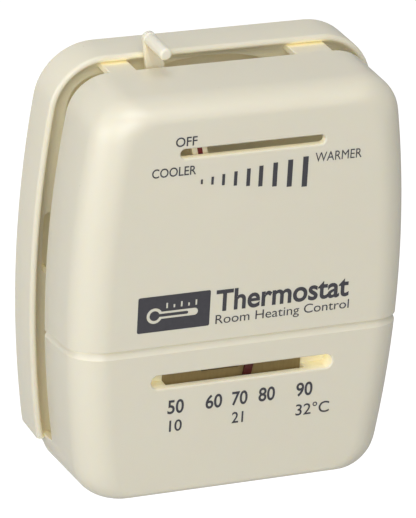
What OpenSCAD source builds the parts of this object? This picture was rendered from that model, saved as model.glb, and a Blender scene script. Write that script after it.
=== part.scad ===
// Wall thermostat: a clip-on cover over a wall base that carries a bimetal
// switch, with a set lever on top and a small bimetal thermometer in the cover.
// Origin at the centre of the back face. The wall is the plane y = 0, the front
// faces -y, x runs to the right and z up. "Depth" means distance from the wall.

/* [Wall base] */
// Width of the base at its widest
base_w = 96; // [80:0.5:120]
// Height of the base
base_h = 118; // [104:0.5:150]
// Depth of the base's rim
rim_d = 12; // [10:0.1:14]
// Wall of the rim
rim_t = 2; // [1.6:0.1:3]
// Thickness of the back plate
plate_t = 3; // [2.4:0.1:4]
// Radius of the upper corners
base_corner_r = 15.5; // [8:0.5:20]
// Radius of the bow of the long sides
side_bow_r = 325; // [200:5:800]
// Depth of the ledge inside the rim
ledge_d = 8; // [6:0.1:9.5]
// Width of the ledge inside the rim
ledge_w = 4.6; // [3:0.1:6]
// Height above the bottom at which the rim ends
rim_end = 11.5; // [8:0.5:16]
// Length of the vent in each side of the ledge
vent_len = 17; // [8:0.5:24]

/* [Wall fixings] */
// Spacing of the two wall screw holes, one above the other
screw_pitch = 83.3; // [60:0.1:90]
// Radius of a wall screw hole
screw_hole_r = 2.2; // [1.8:0.1:2.8]
// Height of the middle of the two holes
screw_mid_z = 2; // [0:0.5:5]
// Radius of the wire entry
wire_entry_r = 6.5; // [4:0.5:9]
// Height of the wire entry
wire_entry_z = 18; // [16:0.5:24]

/* [Cover] */
// Depth of the whole thermostat
cover_front_d = 41.4; // [41:0.1:56]
// Wall of the cover
cover_t = 2; // [1.6:0.1:2.6]
// Gap between the base's outline and the cover's sides
side_gap = 2.1; // [1.6:0.1:5]
// Gap between the inside of the rim and the cover's top
top_gap = 0.5; // [0.3:0.1:3]
// Gap between the base's outline and the cover's bottom
bottom_gap = 2; // [1:0.1:6]
// Radius of the bow of the cover's sides
cover_bow_r = 295; // [200:5:900]
// Radius of the cover's upper corners, seen from the front
cover_corner_r = 11.5; // [8:0.5:16]
// Roundness of the front edge at the sides
edge_side_r = 9; // [4:0.5:10]
// Roundness of the front edge at the top
edge_top_r = 5; // [3:0.5:8]
// Roundness of the front edge at the bottom
edge_bottom_r = 3; // [2:0.5:8]
// Taper of the bottom wall towards the front
bottom_taper = 2.5; // [0:0.5:5]
// Length of the opening for the lever in the cover's top
opening_l = 44; // [40:0.5:50]
// Depth of the moulded groove across the cover
groove_d = 0.8; // [0.4:0.1:1]
// Height of the groove
groove_h = 2.2; // [1:0.1:3]

/* [Windows] */
// Length of the setting window
set_slot_l = 39.5; // [34:0.5:46]
// Height of the setting window
set_slot_h = 2.6; // [2.2:0.1:4]
// Distance from the cover's top to the setting window
set_slot_drop = 13.8; // [12:0.1:18]
// Length of the thermometer window
temp_slot_l = 50.6; // [48:0.1:60]
// Height of the thermometer window
temp_slot_h = 3.8; // [3:0.1:6]
// Distance from the cover's bottom to the thermometer window
temp_slot_rise = 36.8; // [33:0.1:44]
// Depth of the pocket behind the thermometer window
pocket_d = 4.8; // [4.5:0.1:7]
// Length of the pocket's open floor
pocket_l = 38.8; // [37.5:0.1:44]

/* [Set lever] */
// Height of the lever's pivot
pivot_z = -20; // [-22:0.5:-12]
// Radius of the pivot stud
stud_r = 2; // [1.6:0.1:2.6]
// Running clearance of the lever on its stud
running_gap = 0.05; // [0.02:0.01:0.09]
// Distance of the pointer tab to the left of the middle, as it stands
tab_x = 14.3; // [12:0.1:16]
// Width of the lever's arm
lever_w = 5; // [4:0.1:6]
// Thickness of the lever's arm
lever_t = 1.6; // [1.2:0.1:1.8]
// Gap between the rim and the lever's arm
lever_gap = 0.8; // [0.4:0.1:1]
// Gap between the lever's arm and the cover's rear edge
rear_gap = 2.3; // [0.5:0.1:4]
// Radius of the finger peg
peg_r = 1.65; // [1.2:0.05:2.2]
// Length of the finger peg
peg_l = 12.5; // [8:0.5:20]
// Height of the peg above the top of the base
peg_rise = 4.2; // [2.8:0.1:8]

/* [Main switch] */
// Outer radius of the bimetal coil
coil_r = 13; // [10:0.5:15]
// Turns of the bimetal coil
coil_turns = 3; // [2:1:4]
// Thickness of the bimetal strip
strip_t = 0.5; // [0.3:0.05:0.8]
// Width of the bimetal strip
strip_w = 5; // [3:0.1:6]
// Distance of the contacts from the pivot
contact_x = 20; // [18:0.5:22]
// Open gap of the contacts
contact_gap = 0.8; // [0.6:0.1:1.2]

/* [Thermometer] */
// Distance of the thermometer's arbor below its window
arbor_drop = 17.5; // [15:0.1:22]
// Angle at which the thermometer's pointer stands
reading_angle = 11; // [-40:1:40]
// Outer radius of the thermometer's coil
temp_coil_r = 8; // [6:0.5:9]
// Length of the pointer from the arbor
pointer_l = 24.6; // [20:0.1:24.8]

/* [Hidden] */

$fn = 48;
EPS = 0.01;
CREAM = "#ddd5bd";
INK_RED = "#8c1014";
STEEL = "#b4b6b8";
BRASS = "#c9a24a";
BIMETAL = "#a79a84";
PHENOLIC = "#5a3a22";

// Clearance between pieces that move past each other
move_gap = 0.3;

// Outlines of the base and the cover
base_hw = base_w / 2;
base_top = base_h / 2;
base_bottom = -base_h / 2;
base_lower_r = 9;
lower_step = 4.5;
ledge_hw = base_hw - rim_t - ledge_w;
ledge_top = base_top - rim_t - ledge_w;
ledge_bottom = base_bottom + rim_t + ledge_w / 2;
ledge_corner_r = base_corner_r - rim_t - ledge_w / 2;
rim_stop_z = base_bottom + rim_end;

// Arc that opens the ledge behind the lever
arc_r = 50;
arc_z = ledge_top + 2.6 - arc_r;

// Vents in the ledge
vent_mid_z = 7;
vent_w = 3.2;

// Cover, by its outline, its windows and its inside
cover_hw = base_hw - side_gap;
cover_top = base_top - rim_t - top_gap;
cover_bottom = base_bottom + bottom_gap;
cover_lower_r = 10;
cover_top_draft = 0.2;
skirt_d = ledge_d + move_gap;
inner_front_d = cover_front_d - cover_t;
set_slot_z = cover_top - set_slot_drop;
set_slot_x = -0.6;
temp_slot_z = cover_bottom + temp_slot_rise;
arbor_z = temp_slot_z - arbor_drop;

// Groove across the cover, which falls towards the wall along the sides
groove_z = temp_slot_z + 9.1;
groove_fall = 8;

// Tabs on the cover's top edge, each side of the lever's opening
opening_x = -1.5;
cover_tab_out = 30.8;
cover_tab_t = 1.8;

// Lever and the stack of pieces on its stud, by depth
frame_back_d = 6;
frame_t = 1;
frame_front_d = frame_back_d + frame_t;
washer_t = 0.8;
hub_back_d = frame_front_d + washer_t + 0.1;
arm_back_d = rim_d + lever_gap;
arm_front_d = arm_back_d + lever_t;
cover_rear_d = arm_front_d + rear_gap;
hub_r = 6;
hub_front_d = arm_front_d + 2.6;
boss_r = stud_r + 1.4;
coil_back_d = hub_front_d + 0.6;
coil_front_d = coil_back_d + strip_w;
boss_front_d = coil_front_d + 0.5;
clip_t = 0.8;
stud_front_d = boss_front_d + washer_t + clip_t + 1.2;
lever_angle = atan(tab_x / (set_slot_z - pivot_z));
peg_z = base_top + peg_rise;
peg_reach = (peg_z - pivot_z) / cos(lever_angle);
tab_reach = (set_slot_z - pivot_z) / cos(lever_angle);
tab_front_d = inner_front_d - 0.6;
tab_t = 1.2;
tab_w = 4.1;
tab_h = 7;
stripe_w = 1.25;
stripe_t = 0.25;

// Main switch
boss_seat = strip_t / 2 + 0.1;
coil_in_r = boss_r + boss_seat;
arm_z = pivot_z - coil_r;
strip_mid_d = (coil_back_d + coil_front_d) / 2;
contact_r = 1.6;
contact_t = 0.7;
arm_end_x = contact_x + 7;
armature_x = contact_x + 5;
armature_t = 0.3;
magnet_gap = 1.15;
magnet_h = 2.2;
leaf_t = 0.8;
leaf_z = arm_z + strip_t / 2 + armature_t + magnet_gap + magnet_h;
block_x = contact_x + 8;
block_w = 8;
block_h = 10;
block_front_d = coil_back_d - 0.6;
foot_t = 0.8;
screw_r = 1.2;

// Frame, its posts on the base, and the heat anticipator
frame_hw = 33;
frame_bottom = arm_z - 2.5;
frame_top = pivot_z + 16;
wing_x = 13.5;
wing_top = pivot_z + 34;
post_x = frame_hw - 3.5;
post_r = 3;
post_points = [
    [-post_x, frame_bottom + 3.5], [post_x, frame_bottom + 3.5],
    [-post_x, frame_top - 3.5], [post_x, wing_top - 3.5]
];
board_t = 1.6;
board_x = 23;
board_w = 17;
board_h = 20;
board_z = pivot_z + 13;
wiper_x = board_x - 4;
winding_r = 9;
winding_w = 2;
winding_h = 2;
winding_half = 50;
board_front_d = frame_front_d + board_t;
winding_front_d = board_front_d + winding_h;
wiper_t = 0.5;
rivet_r = 1.2;

// Terminals at the foot of the base
terminal_z = base_bottom + 11;
terminal_x = 14;
terminal_block_w = 46;
terminal_block_h = 9;
terminal_block_d = 9;
terminal_plate_t = 1;
terminal_front_d = terminal_block_d + terminal_plate_t;
lead_r = 0.8;

// Thermometer in the cover
arbor_r = 1.2;
bracket_t = 1;
bracket_d = inner_front_d - 11;
bracket_hw = 17;
bracket_hh = 4;
cover_post_x = 13;
cover_post_r = 2.2;
cover_rivet_r = 1;
temp_coil_w = 4;
temp_coil_back_d = bracket_d + bracket_t + 1;
temp_coil_front_d = temp_coil_back_d + temp_coil_w;
temp_strip_t = 0.3;
sleeve_r = 2.2;
temp_coil_in_r = sleeve_r + temp_strip_t / 2;
temp_turns = 4;
pointer_t = 0.6;
pointer_w = 2.2;
pointer_front_d = inner_front_d - 1.5;
pointer_back_d = pointer_front_d - pointer_t;
bridge_front_d = cover_front_d - pocket_d;
bridge_t = 1.4;
bridge_foot_z = temp_slot_z - temp_slot_h / 2 - 3.5;
bridge_end = temp_slot_l / 2 + 1.6;
pocket_x = -1;

// ---- shared shapes ------------------------------------------------------

// Extrudes an x, z outline from one depth to another
module slab(from_d, to_d) {
    translate([0, -from_d, 0]) rotate([90, 0, 0]) linear_extrude(to_d - from_d) children();
}

// A cylinder that stands out from the wall
module rod(x, z, r, from_d, to_d) {
    translate([x, -from_d, z]) rotate([90, 0, 0]) cylinder(r = r, h = to_d - from_d);
}

// A box between two depths
module block(x0, x1, z0, z1, from_d, to_d) {
    translate([x0, -to_d, z0]) cube([x1 - x0, to_d - from_d, z1 - z0]);
}

// Points of a route with every corner cut three times, so that a lead bends smoothly
function cut_once(p) = concat([p[0]],
    [for (i = [0:len(p) - 2], t = [0.25, 0.75]) p[i] * (1 - t) + p[i + 1] * t], [p[len(p) - 1]]);
function smooth(p, times) = times == 0 ? p : smooth(cut_once(p), times - 1);

// A round lead along [x, depth, z] points, with eight sides
module lead(route) {
    sides = 8;
    path = [for (p = smooth(route, 3)) [p[0], -p[1], p[2]]];
    last = len(path) - 1;
    function ring(i) =
        let (
            run = path[min(i + 1, last)] - path[max(i - 1, 0)],
            along = run / norm(run),
            side = cross(along, [0, 1, 0]),
            across = side / norm(side),
            up = cross(across, along)
        )
        [for (k = [0:sides - 1]) path[i] + lead_r * (cos(360 * k / sides) * across + sin(360 * k / sides) * up)];
    polyhedron(
        points = [for (i = [0:last]) each ring(i)],
        faces = concat(
            [[for (k = [0:sides - 1]) k]],
            [[for (k = [sides - 1:-1:0]) last * sides + k]],
            [for (i = [0:last - 1], k = [0:sides - 1])
                [i * sides + k, (i + 1) * sides + k, (i + 1) * sides + (k + 1) % sides, i * sides + (k + 1) % sides]]
        )
    );
}

// A stadium outline with its round ends inside the length
module stadium(l, h) {
    square([l - h, h], center = true);
    for (side = [-1, 1]) translate([side * (l - h) / 2, 0]) circle(d = h);
}

// Half width of a bowed side at height z
function bow(hw, z, bow_r) = hw - z * z / (2 * bow_r);

// A corner arc that runs on smoothly from a bowed side, s = 1 for the top and -1 for the bottom
function corner(hw, edge_z, r, s, bow_r) =
    let (
        lean = atan((abs(edge_z) - r) / bow_r),
        start_z = abs(edge_z) - r * (1 - sin(lean)),
        cx = bow(hw, start_z, bow_r) - r * cos(lean)
    )
    [for (i = [0:8]) let (a = lean + (90 - lean) * i / 8)
        [cx + r * cos(a), s * (abs(edge_z) - r + r * sin(a))]];

function reversed(list) = [for (i = [len(list) - 1:-1:0]) list[i]];

// Right half of a bowed outline, from the bottom to the top
function half_outline(hw, top, bottom, top_r, bottom_r, bow_r) =
    let (
        low = reversed(corner(hw, bottom, bottom_r, -1, bow_r)),
        high = corner(hw, top, top_r, 1, bow_r),
        z0 = low[len(low) - 1][1],
        z1 = high[0][1]
    )
    concat(low, [for (i = [1:9]) let (z = z0 + (z1 - z0) * i / 10) [bow(hw, z, bow_r), z]], high);

module bowed(hw, top, bottom, top_r, bottom_r, bow_r = side_bow_r) {
    half = half_outline(hw, top, bottom, top_r, bottom_r, bow_r);
    polygon(concat(half, [for (p = reversed(half)) [-p[0], p[1]]]));
}

// A flat spiral strip about the origin: it ends at the bottom, running to the left
module spiral(r_in, r_out, turns, t) {
    steps = 24 * turns;
    function edge(i, side) =
        let (a = 270 + 360 * turns * (1 - i / steps), r = r_in + (r_out - r_in) * i / steps + side * t / 2)
        [r * cos(a), r * sin(a)];
    polygon(concat([for (i = [0:steps]) edge(i, 1)], [for (i = [steps:-1:0]) edge(i, -1)]));
}

// A slotted screw that stands out from the wall: shank, head and driver slot
module screw(x, z, shank_r, head_r, head_t, from_d, seat_d) {
    difference() {
        union() {
            rod(x, z, shank_r, from_d, seat_d);
            rod(x, z, head_r, seat_d, seat_d + head_t);
        }
        block(x - head_r - 1, x + head_r + 1, z - 0.4, z + 0.4, seat_d + head_t / 2, seat_d + head_t + 1);
    }
}

// ---- base ---------------------------------------------------------------

module base_outline() {
    intersection() {
        bowed(base_hw, base_top, base_bottom, base_corner_r, base_corner_r);
        union() {
            translate([-base_w, rim_stop_z]) square([2 * base_w, base_h]);
            bowed(base_hw - lower_step, base_top, base_bottom, base_corner_r, base_lower_r);
        }
    }
}

module rim_inside() {
    bowed(base_hw - rim_t, base_top - rim_t, base_bottom - rim_end, base_corner_r - rim_t, base_corner_r);
}

module ledge_inside() {
    bowed(ledge_hw, ledge_top, ledge_bottom, ledge_corner_r, base_lower_r);
}

module wall_base() color(CREAM) {
    difference() {
        union() {
            slab(0, ledge_d) base_outline();
            slab(ledge_d - EPS, rim_d) difference() {
                base_outline();
                rim_inside();
                translate([-base_w, base_bottom - 1]) square([2 * base_w, rim_end + 1]);
            }
        }
        slab(plate_t, rim_d) ledge_inside();
        // arc in the ledge behind the lever
        slab(plate_t, rim_d) intersection() {
            translate([0, arc_z]) circle(r = arc_r, $fn = 96);
            translate([-opening_l / 2, ledge_top - 1]) square([opening_l, base_top]);
        }
        for (side = [-1, 1]) translate([side * (ledge_hw + vent_w / 2 - 0.8), 0])
            slab(plate_t, ledge_d + 1) translate([0, vent_mid_z]) rotate(90) stadium(vent_len, vent_w);
        for (s = [-1, 1]) rod(0, screw_mid_z + s * screw_pitch / 2, screw_hole_r, -1, plate_t + 1);
        rod(0, wire_entry_z, wire_entry_r, -1, plate_t + 1);
        for (p = post_points) rod(p[0], p[1], screw_r, 1, plate_t + 1);
    }
    for (p = post_points) difference() {
        rod(p[0], p[1], post_r, plate_t - EPS, frame_back_d);
        rod(p[0], p[1], screw_r, plate_t - 1, frame_back_d + 1);
    }
}

// ---- mechanism on the base ----------------------------------------------

module mechanism_frame() color(STEEL) difference() {
    slab(frame_back_d, frame_front_d) polygon([
        [-frame_hw, frame_bottom], [frame_hw, frame_bottom], [frame_hw, wing_top],
        [wing_x, wing_top], [wing_x, frame_top], [-frame_hw, frame_top]
    ]);
    for (p = post_points) rod(p[0], p[1], screw_r, 0, frame_front_d + 1);
    rod(0, pivot_z, stud_r, 0, frame_front_d + 1);
    rod(wiper_x, board_z, rivet_r, 0, frame_front_d + 1);
}

module frame_screws() color(STEEL)
    for (p = post_points) screw(p[0], p[1], screw_r, 2.4, 1.5, 1, frame_front_d);

module pivot_stud() color(BRASS) difference() {
    union() {
        rod(0, pivot_z, stud_r, frame_back_d, stud_front_d);
        rod(0, pivot_z, stud_r + 1.5, plate_t + 0.4, frame_back_d);
    }
    // groove for the retaining clip
    difference() {
        rod(0, pivot_z, stud_r + 1, boss_front_d + washer_t, boss_front_d + washer_t + clip_t);
        rod(0, pivot_z, stud_r - 0.5, frame_back_d, stud_front_d + 1);
    }
}

module friction_washer() color(STEEL) difference() {
    rod(0, pivot_z, hub_r - 0.6, frame_front_d, frame_front_d + washer_t);
    rod(0, pivot_z, stud_r + running_gap, frame_front_d - 1, frame_front_d + 2);
}

module set_lever() color(CREAM) difference() {
    translate([0, 0, pivot_z]) rotate([0, -lever_angle, 0]) union() {
        rod(0, 0, hub_r, hub_back_d, hub_front_d);
        rod(0, 0, boss_r, hub_front_d - EPS, boss_front_d);
        block(-lever_w / 2, lever_w / 2, hub_r - 1, peg_reach, arm_back_d, arm_front_d);
        // stiffening rib up the front of the arm
        block(-0.6, 0.6, hub_r - 1, tab_reach - tab_h, arm_front_d - EPS, arm_front_d + 1.4);
        rod(0, peg_reach, peg_r, arm_back_d - 0.4, arm_back_d + peg_l - peg_r);
        translate([0, -(arm_back_d + peg_l - peg_r), peg_reach]) sphere(r = peg_r);
        // leg that carries the indicator tab forward to the window
        block(-1.2, 1.2, tab_reach - tab_h, tab_reach - 2.4, arm_back_d, tab_front_d);
        block(-tab_w / 2, tab_w / 2, tab_reach - tab_h / 2, tab_reach + tab_h / 2, tab_front_d - tab_t, tab_front_d);
    }
    rod(0, pivot_z, stud_r + running_gap, hub_back_d - 1, boss_front_d + 1);
}

module indicator_stripe() color(INK_RED) translate([0, 0, pivot_z]) rotate([0, -lever_angle, 0])
    block(-stripe_w / 2, stripe_w / 2, tab_reach - tab_h / 2, tab_reach + tab_h / 2,
        tab_front_d, tab_front_d + stripe_t);

module coil_clamp() color(BRASS) difference() {
    rod(0, pivot_z, boss_r + 1.6, hub_front_d, coil_back_d);
    rod(0, pivot_z, boss_r, hub_front_d - 1, coil_back_d + 1);
}

module bimetal_coil() color(BIMETAL) slab(coil_back_d, coil_front_d)
    translate([0, pivot_z]) spiral(coil_in_r, coil_r, coil_turns, strip_t);

module hub_washer() color(STEEL) difference() {
    rod(0, pivot_z, boss_r + 1, boss_front_d, boss_front_d + washer_t);
    rod(0, pivot_z, stud_r + running_gap, boss_front_d - 1, boss_front_d + 2);
}

module retaining_clip() color(STEEL) difference() {
    rod(0, pivot_z, stud_r + 1.6, boss_front_d + washer_t, boss_front_d + washer_t + clip_t);
    rod(0, pivot_z, stud_r - 0.5, boss_front_d, stud_front_d + 1);
    block(-stud_r * 0.6, stud_r * 0.6, pivot_z - stud_r - 3, pivot_z, boss_front_d, stud_front_d + 1);
}

module contact_arm() color(BIMETAL) block(-arm_end_x, 0, arm_z - strip_t / 2, arm_z + strip_t / 2,
    coil_back_d, coil_front_d);

module moving_contact() color("silver")
    translate([-contact_x, -strip_mid_d, arm_z + strip_t / 2]) cylinder(r = contact_r, h = contact_t);

module armature() color(STEEL) block(-armature_x - 1.5, -armature_x + 1.5, arm_z + strip_t / 2,
    arm_z + strip_t / 2 + armature_t, coil_back_d + 0.3, coil_front_d - 0.3);

module insulating_block() color(PHENOLIC) difference() {
    block(-block_x - block_w / 2, -block_x + block_w / 2, leaf_z + leaf_t, leaf_z + leaf_t + block_h,
        frame_front_d, block_front_d);
    rod(-block_x, leaf_z + leaf_t + block_h / 2, screw_r, frame_front_d + 1, block_front_d + 1);
}

module contact_bracket() color(BRASS) difference() {
    union() {
        block(-block_x - block_w / 2, -block_x + block_w / 2, leaf_z, leaf_z + leaf_t + block_h,
            block_front_d, block_front_d + foot_t);
        block(-block_x - block_w / 2, -contact_x + contact_r + 1.2, leaf_z, leaf_z + leaf_t,
            block_front_d, coil_front_d);
    }
    rod(-block_x, leaf_z + leaf_t + block_h / 2, screw_r, block_front_d - 1, block_front_d + 2);
    translate([-contact_x, -strip_mid_d, leaf_z - 1]) cylinder(r = screw_r, h = 3);
}

module bracket_screw() color(STEEL)
    screw(-block_x, leaf_z + leaf_t + block_h / 2, screw_r, 2.4, 1.4, frame_front_d + 1, block_front_d + foot_t);

module calibration_screw() color(BRASS) translate([-contact_x, -strip_mid_d, 0]) difference() {
    union() {
        translate([0, 0, leaf_z - 0.6]) cylinder(r = screw_r, h = leaf_t + 1.8);
        translate([0, 0, leaf_z + leaf_t + 1.2]) cylinder(r = 2, h = 1.3);
    }
    translate([-3, -0.3, leaf_z + leaf_t + 1.9]) cube([6, 0.6, 2]);
}

module fixed_contact() color("silver")
    translate([-contact_x, -strip_mid_d, arm_z + strip_t / 2 + contact_t + contact_gap])
        cylinder(r = contact_r, h = leaf_z - 0.6 - (arm_z + strip_t / 2 + contact_t + contact_gap));

module contact_magnet() color("#3a3a3e") difference() {
    block(-armature_x - 1.7, -armature_x + 1.7, leaf_z - magnet_h, leaf_z, coil_back_d, coil_front_d);
    block(-armature_x - 2, -armature_x + 2, leaf_z - magnet_h - 1, leaf_z - 0.9,
        strip_mid_d - 0.9, strip_mid_d + 0.9);
}

// ---- heat anticipator ---------------------------------------------------

module anticipator_board() color(PHENOLIC) difference() {
    block(board_x - board_w / 2, board_x + board_w / 2, board_z - board_h / 2, board_z + board_h / 2,
        frame_front_d, board_front_d);
    rod(wiper_x, board_z, rivet_r, frame_front_d - 1, board_front_d + 1);
}

module anticipator_winding() color(BRASS) translate([wiper_x, -board_front_d, board_z]) rotate([90, 0, 0])
    rotate([0, 0, -winding_half]) rotate_extrude(angle = 2 * winding_half, $fn = 96)
        translate([winding_r - winding_w / 2, 0]) square([winding_w, winding_h]);

module anticipator_arm() color(BRASS) difference() {
    union() {
        rod(wiper_x, board_z, 2.4, board_front_d + 0.1, winding_front_d + 0.1 + wiper_t);
        block(wiper_x, wiper_x + winding_r + winding_w / 2 + 1, board_z - 0.9, board_z + 0.9,
            winding_front_d + 0.1, winding_front_d + 0.1 + wiper_t);
    }
    rod(wiper_x, board_z, rivet_r + running_gap, board_front_d - 1, winding_front_d + 2);
}

module anticipator_rivet() color(STEEL) union() {
    rod(wiper_x, board_z, rivet_r, frame_back_d - 0.5, winding_front_d + 0.2 + wiper_t);
    rod(wiper_x, board_z, rivet_r + 0.8, winding_front_d + 0.2 + wiper_t, winding_front_d + 1 + wiper_t);
    rod(wiper_x, board_z, rivet_r + 0.8, frame_back_d - 1.1, frame_back_d);
}

// ---- terminals and leads ------------------------------------------------

module terminal_block() color(PHENOLIC) difference() {
    block(-terminal_block_w / 2, terminal_block_w / 2, terminal_z - terminal_block_h / 2,
        terminal_z + terminal_block_h / 2, plate_t, terminal_block_d);
    for (side = [-1, 1]) rod(side * terminal_x, terminal_z, screw_r, plate_t + 1, terminal_block_d + 1);
}

module terminal_plate(side) difference() {
    block(side * terminal_x - 5, side * terminal_x + 5, terminal_z - 3.6, terminal_z + 3.6,
        terminal_block_d, terminal_front_d);
    rod(side * terminal_x, terminal_z, screw_r, terminal_block_d - 1, terminal_front_d + 1);
}

module terminal_plate_r() color(BRASS) terminal_plate(-1);
module terminal_plate_w() color(BRASS) terminal_plate(1);

module terminal_screws() color(STEEL)
    for (side = [-1, 1]) screw(side * terminal_x, terminal_z, screw_r, 3, 1.8, plate_t + 1, terminal_front_d);

module lead_red() color("#a02020") lead([
    [-terminal_x - 5 - lead_r, terminal_front_d, terminal_z],
    [-block_x - 2, terminal_front_d, frame_bottom - 3],
    [-block_x - block_w / 2 - lead_r - 0.4, block_front_d - 2, frame_bottom + 2],
    [-block_x - block_w / 2 - lead_r - 0.4, block_front_d - 2, leaf_z + block_h / 2]
]);

module lead_white() color("#e8e4da") lead([
    [terminal_x + 5 + lead_r, terminal_front_d, terminal_z],
    [board_x + 3, terminal_front_d, frame_bottom - 3],
    [board_x + 3, frame_front_d + lead_r + 0.2, frame_bottom + 4],
    [board_x + 3, frame_front_d + lead_r + 0.2, board_z - board_h / 2]
]);

// ---- cover --------------------------------------------------------------

// One slice of the cover's outside, shrunk by "skin", at the angle a round its front edge
module cover_slice(a, skin) {
    side = edge_side_r * (1 - cos(a)) + skin;
    high = edge_top_r * (1 - cos(a)) + cover_top_draft + skin;
    low = edge_bottom_r * (1 - cos(a)) + bottom_taper + skin;
    d = cover_front_d - skin - edge_side_r * (1 - sin(a));
    slab(d - EPS, d) bowed(cover_hw - side, cover_top - high, cover_bottom + low,
        cover_corner_r - skin - 3 * (1 - cos(a)), cover_lower_r - skin - 3 * (1 - cos(a)), cover_bow_r);
}

// The cover's solid form, shrunk by "skin", from the depth rear_d forward
module cover_form(skin, rear_d) {
    hull() {
        slab(rear_d, rear_d + EPS) bowed(cover_hw - skin, cover_top - skin, cover_bottom + skin,
            cover_corner_r - skin, cover_lower_r - skin, cover_bow_r);
        for (a = [0:15:90]) cover_slice(a, skin);
    }
}

module front_cover() color(CREAM) {
    difference() {
        cover_form(0, skirt_d);
        cover_form(cover_t, skirt_d - 1);
        // the rear edge is set forward, except along the bottom
        block(-base_w, base_w, rim_stop_z + 1, base_top, 0, cover_rear_d);
        slab(inner_front_d - 1, cover_front_d + 1) translate([set_slot_x, set_slot_z])
            stadium(set_slot_l, set_slot_h);
        slab(inner_front_d - 1, cover_front_d + 1) translate([0, temp_slot_z]) stadium(temp_slot_l, temp_slot_h);
        difference() {
            translate([0, -cover_front_d, groove_z]) rotate([-groove_fall, 0, 0])
                translate([-base_w, -5, -groove_h / 2]) cube([2 * base_w, cover_front_d, groove_h]);
            cover_form(groove_d, skirt_d - 1);
        }
    }
    // tabs that bridge to the base each side of the lever
    for (x = [[-cover_tab_out, opening_x - opening_l / 2], [opening_x + opening_l / 2, cover_tab_out]])
        block(x[0], x[1], cover_top - cover_tab_t, cover_top, skirt_d, cover_rear_d + EPS);
    // bridge behind the thermometer window, open above and below for the pointer
    difference() {
        union() {
            block(-bridge_end, bridge_end, bridge_foot_z, temp_slot_z + temp_slot_h / 2 + 1.5,
                bridge_front_d - bridge_t, bridge_front_d);
            for (x = [[-bridge_end, pocket_x - pocket_l / 2], [pocket_x + pocket_l / 2, bridge_end]])
                block(x[0], x[1], temp_slot_z - temp_slot_h / 2 - 1.5, temp_slot_z + temp_slot_h / 2 + 1.5,
                    bridge_front_d - bridge_t, inner_front_d + EPS);
        }
        slab(bridge_front_d, cover_front_d) translate([0, temp_slot_z]) stadium(temp_slot_l, temp_slot_h);
    }
    // posts for the thermometer's bracket
    for (side = [-1, 1]) difference() {
        rod(side * cover_post_x, arbor_z, cover_post_r, bracket_d + bracket_t, inner_front_d + EPS);
        rod(side * cover_post_x, arbor_z, cover_rivet_r, bracket_d, bracket_d + 7);
    }
}

// ---- thermometer in the cover -------------------------------------------

module arbor_bracket() color("#c4c6c8") difference() {
    union() {
        block(-bracket_hw, bracket_hw, arbor_z - bracket_hh, arbor_z + bracket_hh, bracket_d, bracket_d + bracket_t);
        // lug that holds the coil's outer end
        block(-1.5, 1.5, arbor_z - temp_coil_r - 1.2, arbor_z - temp_coil_r - temp_strip_t / 2,
            bracket_d, temp_coil_front_d);
        block(-1.5, 1.5, arbor_z - temp_coil_r - 1.2, arbor_z - bracket_hh + EPS, bracket_d, bracket_d + bracket_t);
    }
    for (side = [-1, 1]) rod(side * cover_post_x, arbor_z, cover_rivet_r, bracket_d - 1, bracket_d + 2);
    rod(0, arbor_z, arbor_r, bracket_d - 1, bracket_d + 2);
}

module bracket_rivets() color(STEEL) for (side = [-1, 1]) union() {
    rod(side * cover_post_x, arbor_z, cover_rivet_r, bracket_d, bracket_d + 7);
    rod(side * cover_post_x, arbor_z, cover_rivet_r + 1, bracket_d - 0.9, bracket_d);
}

module thermometer_arbor() color(BRASS) union() {
    rod(0, arbor_z, arbor_r, bracket_d, pointer_front_d + 0.7);
    rod(0, arbor_z, arbor_r + 0.8, bracket_d - 0.6, bracket_d);
}

module thermometer_coil() color(BIMETAL) slab(temp_coil_back_d, temp_coil_front_d)
    translate([0, arbor_z]) spiral(temp_coil_in_r, temp_coil_r, temp_turns, temp_strip_t);

module thermometer_pointer() color(INK_RED) difference() {
    translate([0, 0, arbor_z]) rotate([0, reading_angle, 0]) union() {
        rod(0, 0, sleeve_r, temp_coil_back_d, pointer_back_d + EPS);
        rod(0, 0, sleeve_r + 1, pointer_back_d, pointer_front_d);
        block(-pointer_w / 2, pointer_w / 2, -6, pointer_l, pointer_back_d, pointer_front_d);
    }
    rod(0, arbor_z, arbor_r + running_gap, temp_coil_back_d - 1, pointer_front_d + 1);
}

module arbor_cap() color(BRASS) difference() {
    rod(0, arbor_z, arbor_r + 0.9, pointer_front_d + 0.1, pointer_front_d + 0.7);
    rod(0, arbor_z, arbor_r, pointer_front_d, pointer_front_d + 1);
}

wall_base();
mechanism_frame();
frame_screws();
pivot_stud();
friction_washer();
set_lever();
indicator_stripe();
coil_clamp();
bimetal_coil();
hub_washer();
retaining_clip();
contact_arm();
moving_contact();
armature();
insulating_block();
contact_bracket();
bracket_screw();
calibration_screw();
fixed_contact();
contact_magnet();
anticipator_board();
anticipator_winding();
anticipator_arm();
anticipator_rivet();
terminal_block();
terminal_plate_r();
terminal_plate_w();
terminal_screws();
lead_red();
lead_white();
front_cover();
arbor_bracket();
bracket_rivets();
thermometer_arbor();
thermometer_coil();
thermometer_pointer();
arbor_cap();
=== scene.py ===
import math
import bmesh
import bpy
from mathutils import Matrix, Vector


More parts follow.
